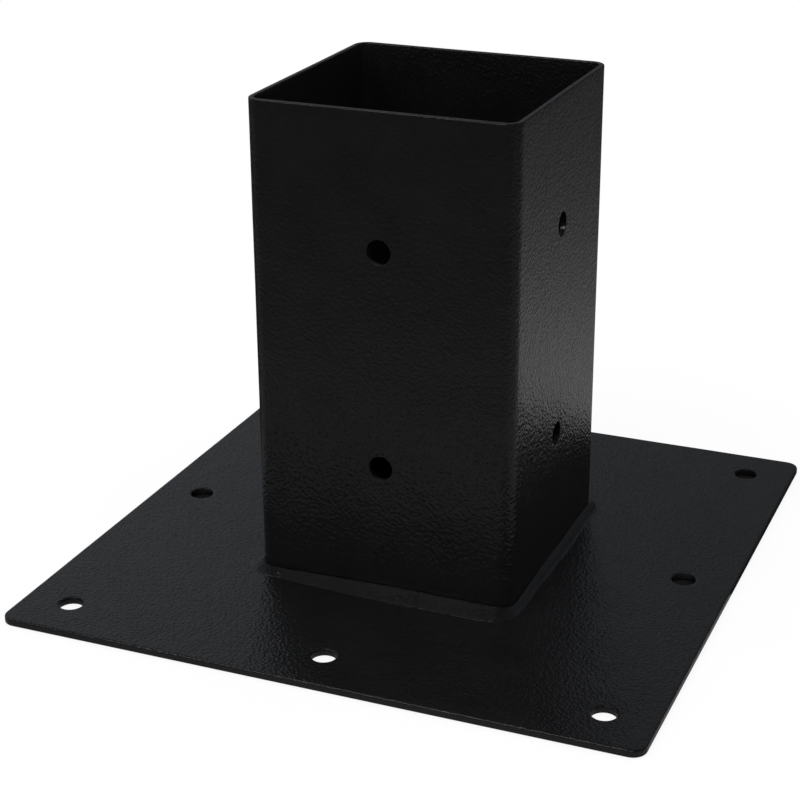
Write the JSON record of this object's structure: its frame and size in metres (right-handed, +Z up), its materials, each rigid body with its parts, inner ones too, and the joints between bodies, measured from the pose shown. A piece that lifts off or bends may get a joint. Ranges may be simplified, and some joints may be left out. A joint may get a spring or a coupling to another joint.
{
  "type": "post base",
  "caption": "Square steel post sleeve welded upright on a wide flat base plate, with anchor holes near the plate's edge and screw holes in each sleeve face.",
  "frame": {"origin": "centre of the base plate's underside", "axes": "+Z up the sleeve's axis, -Y towards the front face, +X towards the right face"},
  "size_m": [0.2286, 0.2286, 0.1741],
  "materials": {
    "hammered_coat": "black hammered powder coat, semi-gloss"
  },
  "bodies": {
    "root": {"base_plate": "hammered_coat", "post_sleeve": "hammered_coat", "weld_bead": "hammered_coat"}
  },
  "joints": []
}
